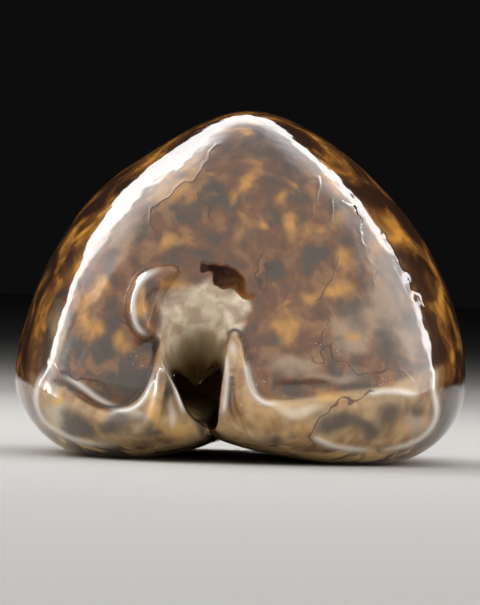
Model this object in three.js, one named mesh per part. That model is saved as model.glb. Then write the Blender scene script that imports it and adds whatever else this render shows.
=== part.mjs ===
// A humped cowrie shell, grown as one piece: a thick, hollow, porcelain-like wall rolled in
// towards a long slit under the base, with a canal mouth at each end.
//
// Frame: millimetres, +Z up. The base rests on z = 0, the shell's long axis lies along Y with
// the blunt posterior end at -Y, and the outer (labral) lip is on the +X side.
//
// The wall is two skins that share their whole border. Each skin is a grid: u runs round a
// cross-section from the columellar lip, under the base and over the dorsum, to the labral
// lip, and v runs along the shell from the posterior canal mouth to the anterior one.

import * as THREE from 'three';
import { ParametricGeometry } from 'three/addons/geometries/ParametricGeometry.js';
import { mergeGeometries, mergeVertices } from 'three/addons/utils/BufferGeometryUtils.js';

const { lerp, smoothstep } = THREE.MathUtils;

// Driving dimensions
const shellLength = 60;
const widestSectionY = -4;     // the hump and the widest margins stand a little behind the middle
const canalDepth = 0.27;       // share of each end's reach that the canal takes before the cavity
const canalNarrowing = 0.06;   // how far the canal draws in behind its rounded mouth

// Resolution
const stepsRound = 44;
const stepsAlong = 38;
const weldDistance = 1e-3;

// The outlines below have matching stations, from the columellar lip to the labral lip.
// Widest cross-section, as [x, z]. The feet dip just under z = 0, where they are cut flat.
const widestOutline = [
  [-1.4, 4.0], [-1.9, 2.2], [-4.4, 0.8], [-9.0, -0.2], [-14.0, -0.3], [-18.4, 1.3],
  [-21.3, 5.0], [-21.6, 9.4], [-19.3, 17.4], [-14.6, 24.8], [-8.4, 29.6], [-1.0, 33.1],
  [6.6, 30.9], [13.6, 25.2], [18.6, 18.1], [21.0, 10.5], [20.7, 5.0], [17.6, 1.3],
  [13.0, -0.3], [8.5, -0.2], [4.0, 0.8], [1.7, 2.2], [1.2, 4.0],
];

// Inside of the wall at the same cross-section: thick under the base, thin over the dorsum.
const cavityOutline = [
  [-1.4, 4.0], [-2.3, 5.5], [-4.8, 6.2], [-8.5, 5.6], [-12.4, 5.2], [-15.6, 6.0],
  [-17.5, 8.2], [-18.1, 11.2], [-17.0, 16.8], [-13.1, 23.0], [-7.8, 27.3], [-1.0, 30.8],
  [6.0, 28.7], [12.2, 23.5], [16.6, 17.0], [18.1, 11.4], [17.2, 8.2], [15.1, 6.0],
  [11.9, 5.2], [8.0, 5.6], [4.6, 6.2], [2.1, 5.5], [1.2, 4.0],
];

// Rim of the posterior canal mouth, as [x, y, z]: up the columellar wall, over the roof and
// down the labral wall. The two basal lobes reach furthest, and the roof is set back.
const posteriorRim = [
  [-3.0, -27.8, 3.0], [-3.6, -28.4, 3.4], [-4.4, -29.1, 3.9], [-5.1, -29.6, 4.6],
  [-5.6, -30.0, 5.5], [-6.1, -29.9, 6.6], [-6.8, -29.4, 7.8], [-7.5, -28.5, 9.1],
  [-8.2, -27.4, 10.5], [-8.4, -26.5, 12.2], [-7.4, -25.9, 14.2], [-5.2, -25.7, 15.4],
  [-3.2, -25.8, 15.2], [-1.9, -26.4, 13.8], [-1.5, -27.4, 12.2], [-1.6, -28.5, 10.3],
  [-1.8, -29.3, 8.6], [-2.0, -29.8, 7.1], [-2.1, -30.0, 5.9], [-2.15, -29.8, 4.9],
  [-2.2, -29.3, 4.2], [-2.3, -28.6, 3.6], [-2.5, -27.8, 3.0],
];
const posteriorCanalMiddle = new THREE.Vector3(-4.4, 0, 7.4);

// The anterior mouth repeats the posterior rim, smaller, lower, more even and more open below.
const anteriorScale = new THREE.Vector3(0.6, -1, 0.46);
const anteriorShift = new THREE.Vector3(2.8, 0, 1.1);
const anteriorUnevenness = 0.35;
const anteriorSlitWidening = 0.65;

function anteriorPoint([x, y, z], station) {
  const evenReach = -shellLength / 2;
  const levelled = lerp(evenReach, y, anteriorUnevenness);
  const turn = Math.PI * station / (posteriorRim.length - 1);
  const point = new THREE.Vector3(x, levelled, z).multiply(anteriorScale).add(anteriorShift);
  point.x -= anteriorSlitWidening * Math.cos(turn);
  return point;
}

function sectionCurve(outline) {
  return new THREE.CatmullRomCurve3(outline.map(([x, z]) => new THREE.Vector3(x, 0, z)));
}

const widest = sectionCurve(widestOutline);
const cavity = sectionCurve(cavityOutline);
const posterior = {
  rim: new THREE.CatmullRomCurve3(posteriorRim.map((point) => new THREE.Vector3(...point))),
  canalMiddle: posteriorCanalMiddle,
  dorsumBluntness: 2.3,
  extraBaseBluntness: 0.9,
};
const anterior = {
  rim: new THREE.CatmullRomCurve3(posteriorRim.map(anteriorPoint)),
  canalMiddle: posteriorCanalMiddle.clone().multiply(anteriorScale).add(anteriorShift),
  dorsumBluntness: 1.85,
  extraBaseBluntness: 0.65,
};

// Quarter of a superellipse at a share q of its turn: power 2 is an ellipse, more is squarer.
// The spread is 1 at the widest section and 0 at the rim, and the reach goes from 0 to 1.
function quarterTurn(q, power) {
  const across = Math.cos(q * Math.PI / 2);
  const along = Math.sin(q * Math.PI / 2);
  const size = (Math.abs(across) ** power + Math.abs(along) ** power) ** (1 / power);
  return { spread: across / size, reach: along / size, narrowing: 0 };
}

// The cavity ends in a straight canal, which draws in just behind its rounded mouth.
function cavityTurn(q, power) {
  const canalShare = 0.35;
  const cavityEnd = 1 - canalShare;
  if (q > cavityEnd) {
    const fromMouth = (1 - q) / canalShare;
    const narrowing = canalNarrowing * Math.sin(Math.PI * Math.sqrt(Math.max(fromMouth, 0)));
    return { spread: 0, reach: 1 - canalDepth * fromMouth, narrowing };
  }
  const turn = quarterTurn(q / cavityEnd, power);
  return { ...turn, reach: turn.reach * (1 - canalDepth) };
}

function mixTurns(from, to, share) {
  return {
    spread: lerp(from.spread, to.spread, share),
    reach: lerp(from.reach, to.reach, share),
    narrowing: to.narrowing * share,
  };
}

// Towards each end the slit leaves the middle and swings over to that end's canal, taking
// the base beside it along. Only the lips themselves end up on the rim.
function swingToCanal(point, u, reach, rim) {
  const lip = u < 0.5 ? 0 : 1;
  const zoneWidth = 0.2;
  const inZone = 1 - smoothstep(Math.abs(u - lip), 0, zoneWidth);
  const swing = inZone * smoothstep(reach, 0.05, 1 - canalDepth);
  const lipPoint = widest.getPoint(lip);
  const lipOnRim = rim.getPoint(lip);
  point.x += (lipOnRim.x - lipPoint.x) * swing;
  point.z *= lerp(1, lipOnRim.z / lipPoint.z, swing);
}

// A point of the wall: it starts on the section, and closes on the rim of the nearer mouth.
function placeOnWall(section, u, v, turnOf, target) {
  const along = 2 * v - 1;
  const end = along < 0 ? posterior : anterior;
  const power = end.dorsumBluntness + end.extraBaseBluntness * (1 - Math.sin(Math.PI * u));
  const turn = turnOf(Math.abs(along), power);
  const rimPoint = end.rim.getPoint(u);
  const sectionPoint = section.getPoint(u);
  swingToCanal(sectionPoint, u, turn.reach, end.rim);
  target.lerpVectors(rimPoint, sectionPoint, turn.spread);
  target.x += (end.canalMiddle.x - rimPoint.x) * turn.narrowing;
  target.z += (end.canalMiddle.z - rimPoint.z) * turn.narrowing;
  target.y = lerp(widestSectionY, rimPoint.y, turn.reach);
  target.z = Math.max(target.z, 0);
}

function outerSkin(u, v, target) {
  placeOnWall(widest, u, v, quarterTurn, target);
}

// The inner skin follows the outer one along both lips and is its own shape between them.
// It runs the other way round, so that its faces point into the cavity.
function innerSkin(u, v, target) {
  const lipWidth = 0.1;
  const ownShare = smoothstep(Math.min(u, 1 - u), 0, lipWidth);
  const turnOf = (q, power) => mixTurns(quarterTurn(q, power), cavityTurn(q, power), ownShare);
  placeOnWall(cavity, 1 - u, v, turnOf, target);
}

function makeShellGeometry() {
  const skins = [outerSkin, innerSkin].map((skin) => {
    const geometry = new ParametricGeometry(skin, stepsRound, stepsAlong);
    geometry.deleteAttribute('normal');
    geometry.deleteAttribute('uv');
    return geometry;
  });
  const wall = mergeVertices(mergeGeometries(skins), weldDistance);
  wall.computeBoundingBox();
  const middle = wall.boundingBox.getCenter(new THREE.Vector3());
  wall.translate(-middle.x, -middle.y, 0);
  wall.computeVertexNormals();
  return wall;
}

const shellMaterial = new THREE.MeshStandardMaterial({
  color: 0x7a4c28,
  roughness: 0.12,
  metalness: 0,
});

const shell = new THREE.Mesh(makeShellGeometry(), shellMaterial);
shell.name = 'shell';

const cowrie = new THREE.Group();
cowrie.add(shell);

export default cowrie;
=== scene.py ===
import math

import bpy
import numpy as np
from mathutils import Matrix, Vector


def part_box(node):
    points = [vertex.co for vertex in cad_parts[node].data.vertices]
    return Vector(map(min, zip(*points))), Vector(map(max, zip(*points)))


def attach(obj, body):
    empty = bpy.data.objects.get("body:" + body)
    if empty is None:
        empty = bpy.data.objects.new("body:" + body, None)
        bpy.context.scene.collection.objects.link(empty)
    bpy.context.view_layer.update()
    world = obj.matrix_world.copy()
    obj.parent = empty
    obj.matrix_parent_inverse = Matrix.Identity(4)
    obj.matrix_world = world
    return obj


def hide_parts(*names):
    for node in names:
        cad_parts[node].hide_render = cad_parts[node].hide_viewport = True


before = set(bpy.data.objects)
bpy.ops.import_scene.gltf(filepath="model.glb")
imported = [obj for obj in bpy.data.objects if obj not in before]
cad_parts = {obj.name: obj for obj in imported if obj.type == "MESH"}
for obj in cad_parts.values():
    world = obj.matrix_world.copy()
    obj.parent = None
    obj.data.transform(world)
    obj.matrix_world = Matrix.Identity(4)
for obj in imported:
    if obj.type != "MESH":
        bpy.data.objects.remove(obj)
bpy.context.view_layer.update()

shellLow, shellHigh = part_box("shell")
shellSize = shellHigh - shellLow
shellMiddle = (shellLow + shellHigh) / 2
print("frame loaded, shell is", [round(side * 1000, 1) for side in shellSize], "mm")


# The camera looks along the shell, almost level with it, straight at the posterior end.
cameraLook = {
    "focalLength": 600,
    "pictureWidth": 1.072,     # of the shell's width
    "aimAcross": -0.006,       # of the shell's width
    "aimUp": 0.447,            # of the shell's height
    "elevation": 0.3,          # degrees above level
    "roll": 1.8,               # degrees, the shell stands a little lower on its right
}


def makeCamera(look):
    data = bpy.data.cameras.new("camera")
    data.lens = look["focalLength"]
    data.sensor_fit = "HORIZONTAL"
    data.clip_start = 0.005
    data.clip_end = 20
    distance = data.lens / data.sensor_width * look["pictureWidth"] * shellSize.x
    target = Vector((
        shellMiddle.x + look["aimAcross"] * shellSize.x,
        shellMiddle.y,
        shellLow.z + look["aimUp"] * shellSize.z,
    ))
    tilt = math.radians(look["elevation"])
    away = Vector((0, -math.cos(tilt), math.sin(tilt)))
    turn = away.to_track_quat("Z", "Y").to_matrix().to_4x4()
    camera = bpy.data.objects.new("camera", data)
    camera.matrix_world = (
        Matrix.Translation(target + away * distance)
        @ turn @ Matrix.Rotation(math.radians(look["roll"]), 4, "Z")
    )
    bpy.context.collection.objects.link(camera)
    bpy.context.scene.camera = camera


makeCamera(cameraLook)
bpy.context.scene.view_settings.view_transform = "Standard"
print("camera placed")


# The shell's form is in millimetres, x towards the outer lip and z up. It follows the solid, apart
# from four points of the rim, the anterior end's bluntness and how the canals narrow behind their
# mouths, and it adds swells and teeth.
# The outlines have matching stations, from the columellar lip round to the labral lip.
shellForm = {
    "widest": [
        (-1.4, 4.0), (-1.9, 2.2), (-4.4, 0.8), (-9.0, -0.2), (-14.0, -0.3), (-18.4, 1.3),
        (-21.3, 5.0), (-21.6, 9.4), (-19.3, 17.4), (-14.6, 24.8), (-8.4, 29.6), (-1.0, 33.1),
        (6.6, 30.9), (13.6, 25.2), (18.6, 18.1), (21.0, 10.5), (20.7, 5.0), (17.6, 1.3),
        (13.0, -0.3), (8.5, -0.2), (4.0, 0.8), (1.7, 2.2), (1.2, 4.0),
    ],
    "cavity": [
        (-1.4, 4.0), (-2.3, 5.5), (-4.8, 6.2), (-8.5, 5.6), (-12.4, 5.2), (-15.6, 6.0),
        (-17.5, 8.2), (-18.1, 11.2), (-17.0, 16.8), (-13.1, 23.0), (-7.8, 27.3), (-1.0, 30.8),
        (6.0, 28.7), (12.2, 23.5), (16.6, 17.0), (18.1, 11.4), (17.2, 8.2), (15.1, 6.0),
        (11.9, 5.2), (8.0, 5.6), (4.6, 6.2), (2.1, 5.5), (1.2, 4.0),
    ],
    "posteriorRim": [
        (-3.0, -27.8, 3.0), (-3.6, -28.4, 3.4), (-4.4, -29.1, 3.9), (-5.1, -29.6, 4.6),
        (-5.6, -30.0, 5.5), (-6.1, -29.9, 6.6), (-6.8, -29.4, 7.8), (-7.5, -28.5, 9.1),
        (-7.9, -27.4, 10.5), (-7.7, -26.5, 12.2), (-6.9, -25.9, 14.0), (-5.2, -25.7, 15.2),
        (-3.2, -25.8, 15.2), (-1.9, -26.4, 13.8), (-1.5, -27.4, 12.2), (-1.6, -28.5, 10.3),
        (-1.8, -29.3, 8.6), (-2.0, -29.8, 7.1), (-2.1, -30.0, 5.9), (-2.15, -29.8, 4.9),
        (-2.2, -29.3, 4.2), (-2.3, -28.6, 3.6), (-2.5, -27.8, 3.0),
    ],
    "anteriorScale": (0.6, -1.0, 0.46),
    "anteriorShift": (2.8, 0.0, 1.1),
    "anteriorUnevenness": 0.35,
    "anteriorSlitWidening": 0.65,
    "widestSectionY": -4.0,
    "length": 60.0,
    "canalShare": 0.35,         # share of the rows that make a canal
    "canalDepth": 0.27,         # share of an end's reach that its canal takes
    "canalMiddle": (-4.3, 6.6),
    "wallFunnel": 0.07,         # how far the canal's walls and roof draw in behind the mouth
    "roofFunnel": (0.94, 0.1),   # posterior, anterior
    "dorsumBluntness": (2.3, 2.0),      # 2 is an ellipse, more is squarer
    "extraBaseBluntness": (0.9, 0.6),
    "swells": {"seed": 7, "count": 14, "length": (3.0, 9.0), "steepness": 0.006},
    "toothPitch": 2.3,
    "toothHeight": (0.22, 0.42),        # columellar, labral
}
# The cavity hardly shows, so it takes only every coarseStep-th point of the grid.
shellGrid = {
    "around": 400,
    "posteriorRows": 105,
    "anteriorRows": 45,
    "rimCloseness": 0.62,       # of an even step, at the posterior rim
    "posteriorCanalRows": 51,
    "anteriorCanalRows": 14,
    "coarseStep": 5,
}


def mixed(start, end, share):
    return start + (end - start) * share


def eased(value, start, end):
    share = np.clip((value - start) / (end - start), 0, 1)
    return share * share * (3 - 2 * share)


def bell(distance, width):
    return np.exp(-(distance / width) ** 2)


# A cubic B-spline whose control points are pushed out until it runs through the points.
def splineThrough(points, shares):
    points = np.array(points, float)

    def padded(row):
        return np.vstack([2 * row[0] - row[1], row, 2 * row[-1] - row[-2]])

    control = points.copy()
    for _ in range(3):
        wide = padded(control)
        control += points - (wide[:-2] + 4 * wide[1:-1] + wide[2:]) / 6
    wide = padded(control)
    place = np.clip(shares, 0, 1) * (len(points) - 1)
    span = np.minimum(place.astype(int), len(points) - 2)
    t = (place - span)[:, None]
    return (
        wide[span] * (1 - t) ** 3
        + wide[span + 1] * (3 * t ** 3 - 6 * t ** 2 + 4)
        + wide[span + 2] * (-3 * t ** 3 + 3 * t ** 2 + 3 * t + 1)
        + wide[span + 3] * t ** 3
    ) / 6


# Quarter of a superellipse: the spread is 1 at the widest section and 0 at the rim,
# and the reach goes from 0 to 1.
def quarterTurn(q, power):
    across = np.cos(q * np.pi / 2)
    along = np.sin(q * np.pi / 2)
    size = (np.abs(across) ** power + np.abs(along) ** power) ** (1 / power)
    return across / size, along / size


class ShellWall:
    # The wall's two skins, a ring of points at a time: along is -1 at the posterior rim,
    # 0 at the widest section and 1 at the anterior rim.
    def __init__(self, form, around):
        self.form = form
        self.around = around
        self.fromLip = np.minimum(around, 1 - around)
        self.widest = splineThrough(form["widest"], around)
        self.cavity = splineThrough(form["cavity"], around)
        rim = np.array(form["posteriorRim"])
        self.posteriorRim = splineThrough(rim, around)
        levelled = rim.copy()
        levelled[:, 1] = mixed(-form["length"] / 2, rim[:, 1], form["anteriorUnevenness"])
        front = levelled * form["anteriorScale"] + form["anteriorShift"]
        front[:, 0] -= form["anteriorSlitWidening"] * np.cos(np.linspace(0, np.pi, len(rim)))
        self.anteriorRim = splineThrough(front, around)

    # Near each end the slit swings over to the canal and takes the base beside it along.
    def swing(self, section, rim, reach):
        lip = np.where(self.around > 0.5, -1, 0)
        lipNow, lipThere = self.widest[lip], rim[lip]
        share = 1 - eased(self.fromLip, 0, 0.2)
        share = share * eased(reach, 0.05, 1 - self.form["canalDepth"])
        x = section[:, 0] + (lipThere[:, 0] - lipNow[:, 0]) * share
        z = section[:, 1] * mixed(1, lipThere[:, 2] / lipNow[:, 1], share)
        return x, z

    def place(self, section, along, spread, reach, drawnIn):
        rim = self.posteriorRim if along < 0 else self.anteriorRim
        x, z = self.swing(section, rim, reach)
        middleX, middleZ = self.form["canalMiddle"]
        if along > 0:
            middleX, middleZ = rim[:, 0].mean(), rim[:, 2].mean()
        x = mixed(rim[:, 0], x, spread) + (middleX - rim[:, 0]) * drawnIn
        z = mixed(rim[:, 2], z, spread) + (middleZ - rim[:, 2]) * drawnIn
        y = mixed(self.form["widestSectionY"], rim[:, 1], reach)
        return np.stack([x, y, np.maximum(z, 0)], axis=1)

    def power(self, along):
        end = 0 if along < 0 else 1
        extra = self.form["extraBaseBluntness"][end]
        return self.form["dorsumBluntness"][end] + extra * (1 - np.sin(np.pi * self.around))

    def outer(self, along):
        spread, reach = quarterTurn(abs(along), self.power(along))
        return self.place(self.widest, along, spread, reach, 0)

    # The inner skin follows the outer one along both lips. It is a canal behind each mouth,
    # whose roof comes down like a funnel, and the wide cavity between the canals.
    def inner(self, along):
        form = self.form
        power = self.power(along)
        fromMouth = (1 - abs(along)) / form["canalShare"]
        if fromMouth < 1:
            spread = np.zeros_like(power)
            reach = 1 - form["canalDepth"] * fromMouth
            narrowing = 1 - (1 - fromMouth) ** 2
        else:
            spread, reach = quarterTurn(abs(along) / (1 - form["canalShare"]), power)
            reach = reach * (1 - form["canalDepth"])
            narrowing = 1 - eased(spread, 0, 0.5)
        own = eased(self.fromLip, 0, 0.1)
        roof = eased(self.fromLip, 0.24, 0.42)
        funnel = mixed(form["wallFunnel"], form["roofFunnel"][0 if along < 0 else 1], roof)
        outerSpread, outerReach = quarterTurn(abs(along), power)
        return self.place(
            self.cavity, along, mixed(outerSpread, spread, own),
            mixed(outerReach, reach, own), funnel * narrowing * own,
        )


# Steps round the section that are even on the ring half way between rim and widest section.
def evenAround(form, steps):
    fine = np.linspace(0, 1, 2000)
    rim = splineThrough(form["posteriorRim"], fine)[:, [0, 2]]
    ring = splineThrough(form["widest"], fine) + rim
    lengths = np.hypot(*np.diff(ring, axis=0).T)
    travelled = np.concatenate([[0], np.cumsum(lengths)])
    return np.interp(np.linspace(0, travelled[-1], steps + 1), travelled, fine)


def rowShares(grid):
    share = np.linspace(0, 1, grid["posteriorRows"] + 1)
    close = grid["rimCloseness"]
    posterior = close * share + (1 - close) * share ** 3 - 1
    return np.concatenate([posterior, np.linspace(0, 1, grid["anteriorRows"] + 1)[1:]])


# The relief of the posterior end, seen from behind it: each line is a few points (x, z) of a
# smooth curve, and heights are towards the viewer. Outlines end where they start.
faceRelief = {
    "wander": {"seed": 23, "count": 24, "length": (0.9, 3.0), "steepness": 0.13},
    "lobes": {
        "columellar": {
            "outline": [
                (-7.7, 11.4), (-8.2, 10.6), (-8.4, 9.4), (-8.7, 8.0), (-9.3, 6.6), (-10.4, 5.4),
                (-12.0, 4.8), (-13.6, 5.0), (-15.2, 5.8), (-17.0, 6.8), (-19.5, 7.4), (-26.0, 8.0),
                (-30.0, -8.0), (-3.2, -8.0), (-4.2, 3.0), (-5.2, 7.0), (-6.8, 11.0), (-7.7, 11.4),
            ],
            "ridgeEnd": 0.56, "stand": 2.5, "crest": 2.2, "basin": 1.4, "creviceEnd": 0.46,
        },
        "labral": {
            "outline": [
                (-1.7, 11.2), (-1.3, 12.1), (-0.7, 12.2), (-0.1, 11.4), (0.2, 10.2), (0.4, 8.8),
                (0.7, 7.4), (1.4, 6.6), (2.6, 6.3), (4.6, 6.3), (7.0, 6.7), (10.5, 7.4),
                (15.0, 8.2), (26.0, 9.0), (30.0, -8.0), (-2.8, -8.0), (-3.0, 3.0), (-2.9, 9.0),
                (-1.7, 11.2),
            ],
            "ridgeEnd": 0.6, "stand": 1.5, "crest": 1.5, "basin": 0.8, "creviceEnd": 0.3,
        },
    },
    # line, height (minus is a groove), half-width, share of the line faded in and out
    "ridges": {
        "columellarCanalEdge": (
            [(-8.0, 10.2), (-7.4, 9.0), (-6.8, 8.0), (-6.1, 6.3), (-5.6, 4.6), (-5.2, 3.4)],
            0.5, 0.35, 0.15,
        ),
        "columellarFold": ([(-8.2, 9.4), (-7.8, 7.6), (-7.8, 6.0), (-8.3, 4.2), (-9.4, 2.8), (-11.0, 1.6)],
                           0.55, 0.5, 0.2),
        "columellarHollow": ([(-6.9, 7.6), (-6.7, 6.2), (-6.9, 4.6), (-7.4, 3.2)], -0.45, 0.6, 0.35),
        "labralStreak": ([(-0.9, 10.4), (-1.0, 8.4), (-1.1, 6.6), (-0.7, 4.8), (0.4, 3.4), (2.2, 2.6)],
                         -0.7, 0.5, 0.2),
        "labralPad": ([(12.2, 7.0), (10.6, 6.6), (8.4, 5.5), (6.8, 4.4), (6.1, 3.0), (6.8, 1.8)],
                      -0.14, 0.3, 0.2),
        "labralGroove": ([(2.2, 7.3), (4.6, 7.4), (7.0, 7.6), (9.4, 7.9)], -0.35, 0.35, 0.3),
        "labralFoldA": ([(-0.2, 13.0), (0.7, 11.4), (1.1, 9.4), (1.5, 7.6)], 0.16, 0.22, 0.3),
        "labralFoldB": ([(0.5, 13.2), (1.5, 11.2), (2.0, 9.2), (2.5, 7.8)], 0.12, 0.22, 0.3),
        "spireFold": (
            [(-4.9, 19.6), (-7.2, 20.0), (-9.8, 19.3), (-12.0, 17.6), (-13.2, 15.4), (-13.4, 13.0),
             (-12.6, 10.8), (-11.4, 9.2)],
            0.32, 0.8, 0.35,
        ),
        "spireCrescent": ([(-7.6, 16.2), (-8.7, 15.4), (-9.2, 14.4), (-9.1, 13.0)], -0.4, 0.28, 0.35),
    },
    "spire": {
        "outline": [
            (-7.0, 18.3), (-8.8, 18.1), (-10.1, 17.4), (-10.9, 16.1), (-11.3, 14.6), (-11.1, 13.1),
            (-10.6, 12.0), (-9.7, 11.1), (-8.7, 11.3), (-8.2, 12.7), (-8.0, 14.4), (-7.3, 16.0),
            (-6.4, 17.2), (-6.3, 18.0), (-7.0, 18.3),
        ],
        "stand": 1.8, "crest": 1.6, "innerCrest": 2.6,
    },
    "pit": {
        "outline": [
            (-4.3, 18.3), (-3.4, 18.6), (-2.7, 18.1), (-1.6, 18.2), (-0.5, 17.4), (0.1, 16.7),
            (0.3, 15.6), (1.0, 15.0), (-0.1, 15.3), (-0.9, 15.9), (-1.8, 16.2), (-2.9, 16.2),
            (-3.3, 17.1), (-4.3, 18.3),
        ],
        "depth": 1.6,
    },
    "knobs": [(-3.6, 15.9, 0.4, 1.2), (-0.5, 15.0, 0.3, 0.9)],      # x, z, height, radius
    # raised edges of the lobes, the canal and the spire, with a pale painted highlight along each
    "margins": {
        "height": 0.3, "width": 0.32, "highlightWidth": 0.26, "fade": 0.2,
        "lines": [
            [(-18.2, 8.6), (-19.2, 6.6), (-19.2, 4.4), (-17.9, 2.7), (-14.4, 1.4), (-10.4, 1.5)],
            [(18.4, 9.6), (17.8, 7.8), (18.2, 5.6), (17.7, 3.6), (15.4, 2.0), (11.6, 1.5)],
            [(-17.4, 7.6), (-15.5, 7.0), (-13.5, 5.6), (-11.1, 4.7), (-9.4, 5.5), (-8.6, 7.4), (-8.1, 9.8)],
            [(-7.6, 18.0), (-9.4, 17.0), (-10.3, 15.4), (-10.4, 13.6), (-9.8, 12.1), (-8.7, 11.6)],
            [(-7.4, 9.6), (-6.6, 7.6), (-5.9, 5.8), (-5.2, 4.4)],
            [(11.4, 6.6), (13.4, 7.1), (16.6, 6.7)],
            [(6.3, 2.9), (8.8, 1.8), (12.4, 1.5)],
            [(-1.9, 10.6), (-1.5, 8.4), (-1.6, 6.0), (-1.9, 4.2)],
            [(0.1, 10.0), (0.5, 8.0), (1.6, 6.0), (3.6, 5.7)],
        ],
    },
    # edges of the thin callus layers: a slight step and a dark line
    "callusEdges": [
        [(-2.4, 29.1), (-3.3, 29.4), (-3.9, 28.0), (-6.0, 25.8), (-8.9, 23.2), (-8.7, 21.0), (-8.5, 19.8)],
        [(-4.7, 25.3), (-4.1, 24.0), (-3.3, 22.5)],
        [(6.7, 27.1), (6.5, 25.0), (6.1, 22.7)],
        [(8.0, 25.4), (7.7, 22.6), (7.7, 20.6), (8.5, 18.8), (7.6, 16.8), (6.7, 15.2)],
        [(8.4, 25.2), (10.2, 23.6), (11.2, 20.6), (12.0, 18.2), (11.8, 16.4)],
        [(13.1, 21.7), (15.1, 17.8), (16.8, 15.2)],
        [(8.0, 14.3), (7.1, 12.0), (6.2, 10.8), (6.5, 9.4), (7.4, 9.8), (7.6, 11.4), (8.3, 9.9),
         (9.9, 9.2), (11.4, 8.6), (13.0, 9.1), (14.9, 9.0), (16.4, 7.6)],
        [(1.8, 19.6), (1.0, 18.1), (1.4, 16.1), (1.9, 17.4), (1.8, 18.7)],
        [(12.2, 7.0), (10.6, 6.6), (8.4, 5.5), (6.8, 4.4), (6.1, 3.0), (6.8, 1.8)],
        [(-12.2, 6.4), (-14.0, 7.4), (-15.4, 7.2), (-17.6, 8.6)],
    ],
}
# Soft spots of colour on the posterior end: x, z, half-width and half-height in mm.
faceSpots = {
    "wander": {"seed": 11, "count": 14, "length": (2.0, 6.0), "steepness": 0.1},
    "patches": {
        "gold": [
            (0.4, 30.6, 0.8, 0.5), (2.6, 29.3, 0.9, 0.6), (0.0, 26.2, 0.9, 0.6), (2.8, 24.8, 0.6, 0.9),
            (1.1, 22.2, 0.7, 0.5), (4.3, 22.6, 0.7, 0.6), (7.0, 21.8, 0.9, 0.7), (6.1, 27.6, 1.1, 0.9),
            (9.0, 19.6, 1.1, 1.0), (5.8, 25.2, 0.5, 0.9), (8.8, 23.0, 0.7, 1.0), (6.0, 15.9, 1.5, 1.1),
            (8.6, 16.2, 0.9, 1.2), (12.4, 20.6, 0.8, 1.4), (-14.8, 13.0, 1.3, 1.7), (-13.6, 16.4, 0.9, 1.3),
            (-11.6, 10.8, 0.9, 1.2), (-7.0, 20.4, 1.1, 0.9), (-1.5, 24.8, 0.5, 0.8), (-6.4, 16.6, 1.1, 0.7),
            (-17.1, 5.2, 0.8, 0.8), (8.0, 6.6, 1.2, 0.5), (0.9, 1.5, 1.3, 0.6), (-9.8, 14.9, 0.5, 1.6),
            (3.6, 12.6, 0.9, 1.6), (-5.6, 3.0, 1.0, 1.4), (-8.2, 4.6, 1.0, 1.5),
            (10.0, 12.4, 0.9, 0.7), (-16.4, 17.6, 0.6, 1.2),
        ],
        "dusk": [
            (0.2, 28.4, 1.1, 0.7), (-0.6, 21.4, 1.2, 1.3), (4.3, 25.0, 0.8, 0.7), (6.2, 19.4, 1.0, 0.8),
            (3.0, 18.0, 1.1, 0.9), (-3.6, 25.4, 1.1, 1.5), (-14.6, 2.9, 2.2, 1.1), (-15.4, 9.8, 1.5, 1.5),
            (-6.9, 7.0, 0.4, 1.2), (-8.4, 2.8, 1.1, 0.9), (9.6, 4.2, 1.3, 0.8), (13.6, 4.5, 1.2, 0.9),
            (16.4, 5.6, 0.8, 0.8), (2.8, 2.3, 1.2, 0.6), (-1.0, 6.8, 0.35, 1.6), (-11.6, 8.2, 1.6, 1.2),
            (13.6, 13.0, 1.0, 2.6), (-16.8, 8.4, 2.4, 1.8), (-12.6, 9.6, 2.2, 1.4), (-10.4, 7.6, 1.4, 1.2),
            (-17.6, 14.0, 0.8, 2.0), (15.4, 14.6, 0.8, 2.0), (-12.0, 3.2, 1.8, 0.9),
            (8.0, 4.0, 1.6, 1.0), (5.2, 3.0, 1.0, 0.7), (11.6, 3.4, 1.2, 0.8), (-19.0, 9.4, 0.8, 1.6),
            (-6.4, 23.4, 1.3, 1.0), (6.6, 10.4, 0.4, 0.7), (-9.8, 13.4, 0.5, 1.0),
            (10.4, 14.6, 1.1, 0.8),
        ],
        "pale": [
            (13.0, 15.6, 2.2, 3.4), (9.8, 12.0, 2.0, 2.2), (12.4, 21.4, 1.6, 2.6), (15.6, 11.4, 1.4, 1.8),
            (-12.0, 22.0, 2.0, 2.0), (-8.4, 25.4, 2.4, 1.4), (-5.6, 27.8, 2.0, 1.0), (-17.6, 11.6, 1.0, 3.0),
            (4.4, 9.4, 2.6, 1.0), (-17.4, 3.6, 1.6, 1.6), (17.4, 3.8, 1.6, 1.8), (-11.0, 4.0, 2.0, 0.7),
            (5.0, 5.4, 2.4, 0.7), (-6.2, 4.6, 0.4, 1.6), (-1.4, 10.4, 0.5, 1.4), (9.0, 8.2, 3.2, 0.5),
        ],
        "cream": [
            (-3.7, 15.6, 1.6, 1.2), (-0.6, 15.0, 1.0, 0.8), (-5.8, 14.6, 1.6, 1.4), (-2.6, 13.9, 1.6, 1.0),
            (-7.6, 12.6, 0.8, 1.4), (-0.9, 12.6, 0.8, 0.5),
        ],
    },
}


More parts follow.
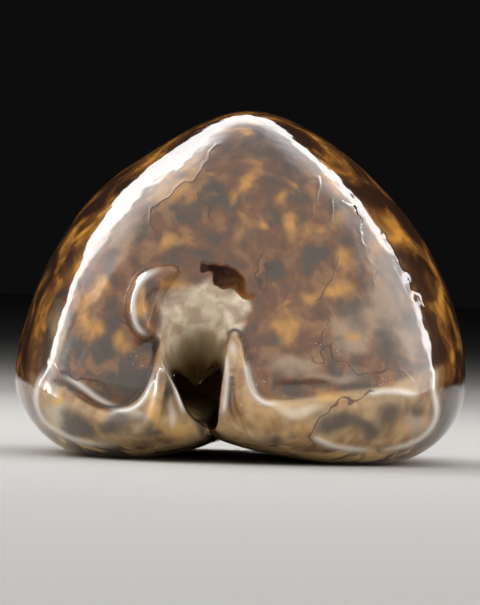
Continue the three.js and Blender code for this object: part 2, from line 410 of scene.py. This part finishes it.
# Distance from each point to a smooth line, how far along the line the nearest place is, and
# which side of the line the point is on.
def lineDistance(points, line, steps=40, withSide=False):
    curve = splineThrough(line, np.linspace(0, 1, steps + 1))
    best = np.full(len(points), np.inf)
    share = np.zeros(len(points))
    side = np.zeros(len(points))
    for index in range(steps):
        start, step = curve[index], curve[index + 1] - curve[index]
        offset = points - start
        t = np.clip(offset @ step / max(step @ step, 1e-9), 0, 1)
        away = offset - t[:, None] * step
        distance = np.hypot(away[:, 0], away[:, 1])
        nearer = distance < best
        best = np.where(nearer, distance, best)
        share = np.where(nearer, (index + t) / steps, share)
        turn = np.sign(step[1] * offset[:, 0] - step[0] * offset[:, 1])
        side = np.where(nearer, turn, side)
    return (best, share, side) if withSide else (best, share)


# Depth inside a closed outline: plus inside, minus outside.
def outlineDepth(points, outline, steps=90):
    corners = splineThrough(outline, np.linspace(0, 1, steps + 1))
    inside = np.zeros(len(points), bool)
    for (x0, z0), (x1, z1) in zip(corners[:-1], corners[1:]):
        crosses = (z0 > points[:, 1]) != (z1 > points[:, 1])
        rise = z1 - z0 if z1 != z0 else 1e-9
        inside ^= crosses & (points[:, 0] < x0 + (x1 - x0) * (points[:, 1] - z0) / rise)
    distance, share = lineDistance(points, outline, steps)
    return np.where(inside, distance, -distance), share


# 0 at both ends of a line and 1 between, easing over a share of its length at each end.
def endsFaded(share, fade):
    return eased(share, 0, fade) * (1 - eased(share, 1 - fade, 1))


# The rise of a rounded crest: steep at 0, level from 1 on.
def quarterRound(share):
    return np.sqrt(1 - (1 - np.clip(share, 0, 1)) ** 2)


# Heights and masks of the relief at points (x, z).
def reliefAt(points, relief, spots):
    height = np.zeros(len(points))
    masks = {
        name: np.zeros(len(points)) for name in ("creviceShade", "lobe", "callusLine", "callusSide")
    }
    for lobe in relief["lobes"].values():
        depth, share = outlineDepth(points, lobe["outline"])
        ridge = 1 - eased(share, lobe["ridgeEnd"] - 0.2, lobe["ridgeEnd"] + 0.04)
        ridge *= eased(share, 0, 0.06)
        standing = lobe["stand"] * quarterRound(depth / lobe["crest"]) - lobe["basin"]
        sunken = -lobe["basin"] * np.exp(np.minimum(depth, 0) / 4.0)
        height += np.where(depth > 0, standing, sunken) * ridge
        height += eased(depth, 0, 2) * (1 - ridge) * (lobe["stand"] - lobe["basin"]) * 0.5
        # painted shade: a dark band in the crevice above the ridge
        gap = bell(depth + 0.1, 0.22) * ridge * eased(share, 0.01, 0.05)
        gap *= 1 - eased(share, lobe["creviceEnd"] - 0.1, lobe["creviceEnd"])
        masks["creviceShade"] = np.maximum(masks["creviceShade"], gap)
        masks["lobe"] = np.maximum(masks["lobe"], eased(depth, -0.1, 0.5))

    for line, rise, width, fade in relief["ridges"].values():
        distance, share = lineDistance(points, line)
        height += rise * bell(distance, width) * endsFaded(share, fade)

    spire = relief["spire"]
    depth, share = outlineDepth(points, spire["outline"])
    width = mixed(spire["crest"], spire["innerCrest"], eased(points[:, 0], -9.8, -7.6))
    height += spire["stand"] * quarterRound(depth / width)

    for x, z, rise, radius in relief["knobs"]:
        height += rise * bell(np.hypot(points[:, 0] - x, points[:, 1] - z), radius)

    jagged = wandering(points, relief["wander"])
    nearest = np.full(len(points), 9.0)
    for edge in relief["callusEdges"]:
        distance, share, side = lineDistance(jagged, edge, withSide=True)
        closer = distance < nearest
        nearest = np.where(closer, distance, nearest)
        masks["callusSide"] = np.where(closer, np.clip(distance, 0, 0.5) * side, masks["callusSide"])
        drawn = bell(distance, 0.3) * endsFaded(share, 0.06)
        masks["callusLine"] = np.where(closer, drawn, masks["callusLine"])

    edges = relief["margins"]
    masks["edgeHighlight"] = np.zeros(len(points))
    for line in edges["lines"]:
        distance, share = lineDistance(points, line)
        drawn = endsFaded(share, edges["fade"])
        # the pale band is a painted highlight; the raised ridge is real relief
        masks["edgeHighlight"] = np.maximum(masks["edgeHighlight"], bell(distance, edges["highlightWidth"]) * drawn)
        height += edges["height"] * bell(distance, edges["width"]) * drawn

    depth, share = outlineDepth(jagged, relief["pit"]["outline"])
    height -= relief["pit"]["depth"] * eased(depth, -0.1, 0.7)
    masks["pit"] = eased(depth, -0.06, 0.14)

    moved = wandering(points, spots["wander"])
    for name, patches in spots["patches"].items():
        mask = np.zeros(len(points))
        for x, z, halfWidth, halfHeight in patches:
            distance = np.hypot((moved[:, 0] - x) / halfWidth, (moved[:, 1] - z) / halfHeight)
            mask = 1 - (1 - mask) * (1 - bell(distance, 1.1))
        masks[name] = mask
    return height, masks


# Slow swells of the callus, the sum of a few waves in random directions.
def swells(points, look):
    chance = np.random.default_rng(look["seed"])
    height = np.zeros(points.shape[:-1])
    for _ in range(look["count"]):
        direction = chance.normal(size=points.shape[-1])
        direction /= np.linalg.norm(direction)
        length = chance.uniform(*look["length"])
        height += np.sin(points @ direction * 2 * np.pi / length + chance.uniform(0, 6.3)) * length
    return height * look["steepness"] / look["count"] ** 0.5


# The points moved about a little, which makes the lines and spots drawn on them irregular.
def wandering(points, look):
    across, up = (swells(points, look | {"seed": look["seed"] + axis}) for axis in (0, 1))
    return points + np.stack([across, up], axis=1)


def buildShell(form, grid, relief, spots):
    around = evenAround(form, grid["around"])
    wall = ShellWall(form, around)
    rows = rowShares(grid)
    outer = np.array([wall.outer(along) for along in rows])
    inner = np.array([wall.inner(along) for along in rows])
    depth = np.abs(inner[:, :, 1] - outer[0, :, 1])

    labral = around > 0.5
    toothHeight = np.where(labral, form["toothHeight"][1], form["toothHeight"][0])
    onLip = (1 - eased(wall.fromLip, 0.01, 0.075)) * toothHeight
    for skin in (outer, inner):
        y = skin[:, :, 1]
        wave = 0.5 + 0.5 * np.cos(2 * np.pi * y / form["toothPitch"] + labral * np.pi * 0.8)
        wave *= eased(y, -26, -20) * (1 - eased(y, 22, 27))
        skin[:, :, 0] += np.where(labral, -1, 1) * onLip * wave
        skin[:, :, 2] -= 0.3 * onLip * wave

    masks = {}
    for name, skin in (("outer", outer), ("inner", inner)):
        points = skin[:, :, [0, 2]].reshape(-1, 2)
        height, found = reliefAt(points, relief, spots)
        if name == "outer":
            fade = 1 - eased(skin[:, :, 1], -20, -10)
        else:
            fade = 1 - eased(depth, 0.0, 2.2)
        masks[name] = {
            kind: mask.reshape(fade.shape) * fade for kind, mask in found.items()
        }
        skin[:, :, 1] -= (height.reshape(fade.shape) + swells(skin, form["swells"])) * fade
    masks["outer"]["inside"] = np.zeros_like(depth)
    masks["inner"]["inside"] = np.clip(depth / 8, 0, 1)
    roof = eased(wall.fromLip, 0.3, 0.42)[None, :].repeat(len(rows), axis=0)
    masks["outer"]["roof"] = np.zeros_like(depth)
    masks["inner"]["roof"] = roof
    return outer, inner, masks


# One closed mesh out of both skins. The outer skin and both canals keep the full grid, and
# the cavity between them is coarse, with many-sided cells where it meets the full grid.
def shellMesh(name, grid, outer, inner):
    rowCount, columnCount = outer.shape[:2]
    lastRow, lastColumn = rowCount - 1, columnCount - 1
    step = grid["coarseStep"]
    posteriorEnd = grid["posteriorCanalRows"]
    anteriorStart = lastRow - grid["anteriorCanalRows"]
    outerIds = np.arange(rowCount * columnCount).reshape(rowCount, columnCount)

    row, column = np.mgrid[0:rowCount, 0:columnCount]
    onBorder = (row == 0) | (row == lastRow) | (column == 0) | (column == lastColumn)
    inCanal = (row <= posteriorEnd) | (row >= anteriorStart)
    onCoarse = ((row - posteriorEnd) % step == 0) & (column % step == 0)
    fresh = ~onBorder & (inCanal | onCoarse)
    innerIds = np.where(onBorder, outerIds, -1)
    innerIds[fresh] = outerIds.size + np.arange(fresh.sum())
    points = np.vstack([outer.reshape(-1, 3), inner[fresh]])

    def cells(ids):
        corners = [ids[:-1, :-1], ids[:-1, 1:], ids[1:, 1:], ids[1:, :-1]]
        return np.stack([corner.ravel() for corner in corners], axis=1).tolist()

    def side(start, end, fine):
        count = step if fine else 1
        return [
            int(innerIds[
                start[0] + (end[0] - start[0]) * k // count,
                start[1] + (end[1] - start[1]) * k // count,
            ])
            for k in range(count)
        ]

    faces = cells(outerIds)
    faces += [face[::-1] for face in cells(innerIds[:posteriorEnd + 1])]
    faces += [face[::-1] for face in cells(innerIds[anteriorStart:])]
    for r in range(posteriorEnd, anteriorStart, step):
        for c in range(0, lastColumn, step):
            r2, c2 = r + step, c + step
            faces.append(
                side((r, c), (r2, c), c == 0)
                + side((r2, c), (r2, c2), r2 == anteriorStart)
                + side((r2, c2), (r, c2), c2 == lastColumn)
                + side((r, c2), (r, c), r == posteriorEnd)
            )

    mesh = bpy.data.meshes.new(name)
    mesh.from_pydata(points.tolist(), [], faces)
    mesh.update()
    mesh.shade_smooth()
    return mesh, fresh


def fitToSolid(mesh):
    places = np.empty(len(mesh.vertices) * 3)
    mesh.vertices.foreach_get("co", places)
    places = places.reshape(-1, 3)
    low, high = places.min(axis=0), places.max(axis=0)
    target = np.array(shellLow), np.array(shellHigh)
    places = target[0] + (places - low) / (high - low) * (target[1] - target[0])
    mesh.vertices.foreach_set("co", places.ravel())
    mesh.update()


def addMask(mesh, name, values):
    attribute = mesh.attributes.new(name, "FLOAT", "POINT")
    attribute.data.foreach_set("value", values.astype(np.float32))


outerSkin, innerSkin, shellMasks = buildShell(shellForm, shellGrid, faceRelief, faceSpots)
shellData, freshInner = shellMesh("cowrie_shell", shellGrid, outerSkin, innerSkin)
for maskName in shellMasks["outer"]:
    addMask(shellData, maskName, np.concatenate([
        shellMasks["outer"][maskName].ravel(), shellMasks["inner"][maskName][freshInner],
    ]))
fitToSolid(shellData)
shell = bpy.data.objects.new("cowrie_shell", shellData)
bpy.context.collection.objects.link(shell)
triangles = sum(len(face.vertices) - 2 for face in shellData.polygons)
print("shell built,", len(shellData.vertices), "points,", triangles, "triangles")


# A value, colour or vector in a material's node tree. Sums on values add Math nodes.
class Wire:
    def __init__(self, tree, socket=None):
        self.tree = tree
        self.socket = socket

    def node(self, kind, settings=None, values=None, output=0):
        made = self.tree.nodes.new(kind)
        for name, setting in (settings or {}).items():
            setattr(made, name, setting)
        for name, value in (values or {}).items():
            socket = made.inputs[name]
            if isinstance(value, Wire):
                self.tree.links.new(value.socket, socket)
            else:
                socket.default_value = value
        return Wire(self.tree, made.outputs[output] if len(made.outputs) else None)

    def maths(self, operation, *parts):
        return self.node("ShaderNodeMath", {"operation": operation}, dict(enumerate(parts)))

    def __add__(self, other):
        return self.maths("ADD", self, other)

    __radd__ = __add__

    def __mul__(self, other):
        return self.maths("MULTIPLY", self, other)

    __rmul__ = __mul__

    def __sub__(self, other):
        return self.maths("SUBTRACT", self, other)

    def __rsub__(self, other):
        return self.maths("SUBTRACT", other, self)

    def clear(self, low, high):
        # 0 below low, 1 above high, smooth between
        return self.node(
            "ShaderNodeMapRange", {"interpolation_type": "SMOOTHSTEP"},
            {"Value": self, "From Min": low, "From Max": high},
        )

    def blend(self, start, end):
        # the colour start where this is 0, end where it is 1; sockets 0, 6, 7 are a
        # colour Mix node's factor and colours, and its output 2 the result
        colours = [
            colour if isinstance(colour, Wire) else (*colour, 1) for colour in (start, end)
        ]
        return self.node(
            "ShaderNodeMix", {"data_type": "RGBA"}, {0: self, 6: colours[0], 7: colours[1]}, 2,
        )


shellFinish = {
    "outsideDark": (0.034, 0.015, 0.008),
    "outsideBrown": (0.12, 0.046, 0.014),
    "outsideAmber": (0.60, 0.27, 0.045),
    "faceDusk": (0.090, 0.070, 0.052),
    "faceBrown": (0.19, 0.080, 0.036),
    "faceTan": (0.31, 0.155, 0.068),
    "faceGold": (0.60, 0.29, 0.07),
    "pale": (0.46, 0.33, 0.22),
    "lobeTan": (0.56, 0.37, 0.19),
    "lobeBrown": (0.36, 0.19, 0.08),
    "lobePale": (0.76, 0.62, 0.45),
    "lobeDusk": (0.12, 0.090, 0.065),
    "lobeGold": (0.74, 0.43, 0.13),
    # tan of the base, painted lighter as painted light where the floor shades it
    "baseTanWithPaintedLight": (0.98, 0.64, 0.26),
    "cream": (0.90, 0.76, 0.56),
    "creamShade": (0.54, 0.39, 0.27),
    # painted shade inside the canals, the lighter and the deeper step
    "oliveShade": (0.27, 0.20, 0.11),
    "canal": (0.10, 0.056, 0.017),
    # the shell's own pale inside, painted lighter still as painted light against the shade in the cavity
    "cavity": (0.85, 0.60, 0.30),
    "pit": (0.055, 0.012, 0.004),
    "pitAmber": (0.30, 0.12, 0.02),
    # painted highlight along the raised edges
    "edgeHighlight": (0.88, 0.82, 0.74),
    # dark callus lines; the same colour paints shade into the crevices
    "line": (0.080, 0.040, 0.024),
    "blotchSize": 4.4,          # widths of typical patches in mm
    "toneSize": 2.2,
    "speckleSize": 1.5,
    "rippleSize": 0.8,
    "dustSize": 0.2,
    "dimpleSize": 1.8,
    "callusStart": (-25.0, -14.0),      # y in mm, from callus to the bare dorsum
    "baseTop": (0.6, 2.4),              # z in mm
    "lineStrength": 0.85,
    "edgeHighlightStrength": 0.8,
    "pitRoughness": 0.8,
    "roughness": 0.06,
    "ior": 1.6,
}


def shellMaterial(finish):
    material = bpy.data.materials.new("shell_glaze")
    material.use_nodes = True
    tree = material.node_tree
    tree.nodes.clear()
    make = Wire(tree)
    coordinates = make.node("ShaderNodeTexCoord", output=3)
    place = make.node("ShaderNodeVectorMath", {"operation": "SCALE"}, {0: coordinates, "Scale": 1000.0})
    parts = make.node("ShaderNodeSeparateXYZ", values={0: place}).socket.node.outputs
    x, y, z = (Wire(tree, part) for part in parts)

    def mask(name):
        return make.node("ShaderNodeAttribute", {"attribute_name": name}, output=2)

    def noise(size, detail, shift, distortion=0.0):
        # size is the width of a typical patch in mm
        moved = make.node("ShaderNodeVectorMath", {"operation": "ADD"}, {0: place, 1: (shift,) * 3})
        return make.node("ShaderNodeTexNoise", values={
            "Vector": moved, "Scale": 1 / size, "Detail": detail, "Distortion": distortion,
        })

    blotches = noise(finish["blotchSize"], 2.0, 3.0, 0.7)
    speckles = noise(finish["speckleSize"], 2.5, 40.0, 0.5)
    ripples = noise(finish["rippleSize"], 3.0, 90.0)
    tones = noise(finish["toneSize"], 4.0, 17.0, 0.3)
    dust = noise(finish["dustSize"], 0.0, 60.0).clear(0.78, 0.86) * blotches.clear(0.5, 0.6)
    dust = dust * z.clear(4.0, 6.0) * (1 - z.clear(10.0, 16.0)) * 0.7
    ragged = (ripples - 0.5) * 0.5

    # the dorsum and flanks: dark brown with amber showing through
    outside = blotches.clear(0.40, 0.58).blend(finish["outsideDark"], finish["outsideBrown"])
    amber = (blotches + (speckles - 0.5) * 0.3).clear(0.50, 0.80)
    outside = amber.blend(outside, finish["outsideAmber"])

    # the posterior end: greyer callus over the same spots
    dusk = (mask("dusk") + ragged * 0.5 + (0.5 - blotches) * 1.6).clear(0.0, 1.1)
    gold = (mask("gold") + ragged * 0.4 + (speckles - 0.5) * 1.2).clear(0.15, 1.25)
    gold = gold + (blotches + speckles * 0.5).clear(0.80, 1.05) * 0.35
    callus = dusk.blend(finish["faceBrown"], finish["faceDusk"])
    callus = (tones.clear(0.50, 0.66) * 0.8).blend(callus, finish["faceTan"])
    callus = ((1 - tones).clear(0.48, 0.62) * 0.85).blend(callus, finish["faceDusk"])
    pale = (mask("pale") + ragged * 0.5 + (tones - 0.5) * 0.9).clear(0.15, 1.1)
    callus = (pale * 0.85).blend(callus, finish["pale"])
    callus = gold.blend(callus, finish["faceGold"])
    lobe = tones.clear(0.42, 0.66).blend(finish["lobeTan"], finish["lobeBrown"])
    lobe = pale.blend(lobe, finish["lobePale"])
    lobe = dusk.blend(lobe, finish["lobeDusk"])
    lobe = gold.blend(lobe, finish["lobeGold"])
    callus = mask("lobe").blend(callus, lobe)
    onFace = 1 - y.clear(*finish["callusStart"])
    colour = onFace.blend(outside, callus)

    # the base: tan with brown patches; the tan is painted much lighter than its own colour, as painted light
    # where the floor shades the base
    base = blotches.clear(0.44, 0.56).blend(finish["baseTanWithPaintedLight"], finish["outsideBrown"])
    onBase = 1 - (z + (speckles - 0.5) * 2.0).clear(*finish["baseTop"])
    colour = onBase.blend(colour, base)

    cream = tones.clear(0.40, 0.62).blend(finish["creamShade"], finish["cream"])
    colour = (mask("cream") + ragged * 0.4).clear(0.10, 0.85).blend(colour, cream)
    inside, roof = mask("inside"), mask("roof")
    colour = (inside.clear(0.0, 0.06) * roof).blend(colour, cream)
    # painted shade: the canal's walls turn olive, then nearly black, the deeper they lie behind the mouth
    walls = inside + (blotches - 0.5) * 0.1
    colour = walls.clear(0.05, 0.24).blend(colour, finish["oliveShade"])
    colour = walls.clear(0.18, 0.40).blend(colour, finish["canal"])
    # deep in the cavity: the shell's own pale inside, painted lighter as painted light against its shade
    colour = inside.clear(0.5, 1.0).blend(colour, finish["cavity"])
    # painted highlight along the raised edges, plus pale dust specks on the face
    pale = mask("edgeHighlight") * finish["edgeHighlightStrength"] + dust * onFace
    colour = pale.blend(colour, finish["edgeHighlight"])
    side = mask("callusSide")
    line = (1 - side.maths("ABSOLUTE", side).clear(0.03, 0.12)) * mask("callusLine")
    colour = (line * finish["lineStrength"]).blend(colour, finish["line"])
    # painted shade in the crevices above the lobes
    colour = mask("creviceShade").blend(colour, finish["line"])
    pit = (x - z + speckles * 3.0).clear(-18.5, -13.5).blend(finish["pit"], finish["pitAmber"])
    inPit = (mask("pit") + ragged * 0.8).clear(0.3, 0.7)
    colour = inPit.blend(colour, pit)

    step = side.clear(-0.12, 0.12) * mask("callusLine")
    height = noise(finish["dimpleSize"], 1.0, 10.0) + step * 0.9
    bump = make.node("ShaderNodeBump", values={
        "Strength": 0.25, "Distance": 0.0002, "Height": height,
    })
    shader = make.node("ShaderNodeBsdfPrincipled", values={
        "Base Color": colour,
        "Roughness": finish["roughness"] + mask("pit") * finish["pitRoughness"],
        "IOR": finish["ior"],
        "Normal": bump,
    })
    make.node("ShaderNodeOutputMaterial", values={"Surface": shader})
    return material


shellData.materials.append(shellMaterial(shellFinish))
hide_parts("shell")
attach(shell, "root")
print("shell finished")


# A plain pale floor, and half a dome of glowing cloth round the camera's side of the shell,
# brightest along its open edge. The dome itself can't be seen, only its light. Glows are
# emission strengths.
studio = {
    "floorColour": (0.40, 0.39, 0.37),
    "floorHalfWidth": 3.0,
    "world": (0.004, 0.004, 0.004),
    "tentRadius": 0.38,
    "clothGlow": 1.0,
    "bandGlow": (8.5, 3.0),    # at the sides and over the top
    # turn round from the right, then where the cloth starts to brighten, where the bright
    # band starts and where the tent ends, all in degrees from the camera's direction
    "tentShape": [
        (0, 66, 110, 115), (40, 72, 108, 114), (65, 96, 124, 132), (82, 126, 144, 152),
        (98, 126, 148, 156), (115, 92, 124, 150), (135, 70, 108, 130), (155, 84, 108, 117),
        (180, 94, 111, 116),
    ],
    "lamps": {
        # azimuth from the camera's side and elevation in degrees, distance and size in m, watts
        "top_softbox": {"azimuth": 180, "elevation": 62, "distance": 0.5, "size": (0.3, 0.2), "power": 1.2},
    },
}


def makeFloor(look):
    half = look["floorHalfWidth"]
    mesh = bpy.data.meshes.new("floor")
    corners = [(-half, -half), (half, -half), (half, half), (-half, half)]
    mesh.from_pydata([(x, y, shellLow.z) for x, y in corners], [], [(0, 1, 2, 3)])
    material = bpy.data.materials.new("floor_paper")
    material.use_nodes = True
    paper = material.node_tree.nodes["Principled BSDF"]
    paper.inputs["Base Color"].default_value = (*look["floorColour"], 1)
    paper.inputs["Roughness"].default_value = 0.8
    mesh.materials.append(material)
    floor = bpy.data.objects.new("floor", mesh)
    bpy.context.collection.objects.link(floor)


def makeTent(look):
    shape = np.array(look["tentShape"], float)
    turns = np.arange(0, 180.1, 4.0)
    brightening, bandStart, edge = (np.interp(turns, shape[:, 0], row) for row in shape.T[1:])
    angles = np.linspace(0, 1, 120)[:, None] * edge
    angle, turn = np.radians(angles), np.radians(np.broadcast_to(turns, angles.shape))
    radius = look["tentRadius"]
    centre = (shellMiddle.x, shellMiddle.y, shellLow.z + 0.002)
    points = np.stack([
        centre[0] + radius * np.sin(angle) * np.cos(turn),
        centre[1] - radius * np.cos(angle),
        centre[2] + radius * np.sin(angle) * np.sin(turn),
    ], axis=2).reshape(-1, 3)
    ids = np.arange(angle.size).reshape(angle.shape)
    corners = [ids[:-1, :-1], ids[1:, :-1], ids[1:, 1:], ids[:-1, 1:]]
    faces = np.stack([corner.ravel() for corner in corners], axis=1).tolist()
    mesh = bpy.data.meshes.new("light_tent")
    mesh.from_pydata(points.tolist(), [], faces)

    warming = look["clothGlow"] * (1 + 2.2 * eased(angles, brightening, bandStart))
    band = mixed(*look["bandGlow"], eased(angles, 112, 150))
    glow = mixed(warming, band, eased(angles, bandStart - 1, bandStart + 2))
    addMask(mesh, "glow", glow.ravel())

    material = bpy.data.materials.new("tent_cloth")
    material.use_nodes = True
    tree = material.node_tree
    tree.nodes.clear()
    make = Wire(tree)
    strength = make.node("ShaderNodeAttribute", {"attribute_name": "glow"}, output=2)
    light = make.node("ShaderNodeEmission", values={"Strength": strength})
    make.node("ShaderNodeOutputMaterial", values={"Surface": light})
    mesh.materials.append(material)
    tent = bpy.data.objects.new("light_tent", mesh)
    tent.visible_camera = False
    bpy.context.collection.objects.link(tent)


def makeLamps(look):
    centre = Vector((shellMiddle.x, shellMiddle.y, shellLow.z + shellSize.z * 0.45))
    for name, lamp in look["lamps"].items():
        azimuth, elevation = math.radians(lamp["azimuth"]), math.radians(lamp["elevation"])
        away = Vector((
            math.sin(azimuth) * math.cos(elevation),
            -math.cos(azimuth) * math.cos(elevation),
            math.sin(elevation),
        ))
        data = bpy.data.lights.new(name, "AREA")
        data.shape = "RECTANGLE"
        data.size, data.size_y = lamp["size"]
        data.energy = lamp["power"]
        light = bpy.data.objects.new(name, data)
        light.location = centre + away * lamp["distance"]
        light.rotation_euler = away.to_track_quat("Z", "Y").to_euler()
        light.visible_camera = False
        bpy.context.collection.objects.link(light)


makeFloor(studio)
makeTent(studio)
makeLamps(studio)
world = bpy.data.worlds.new("studio")
world.use_nodes = True
world.node_tree.nodes["Background"].inputs["Color"].default_value = (*studio["world"], 1)
bpy.context.scene.world = world
print("studio lit")
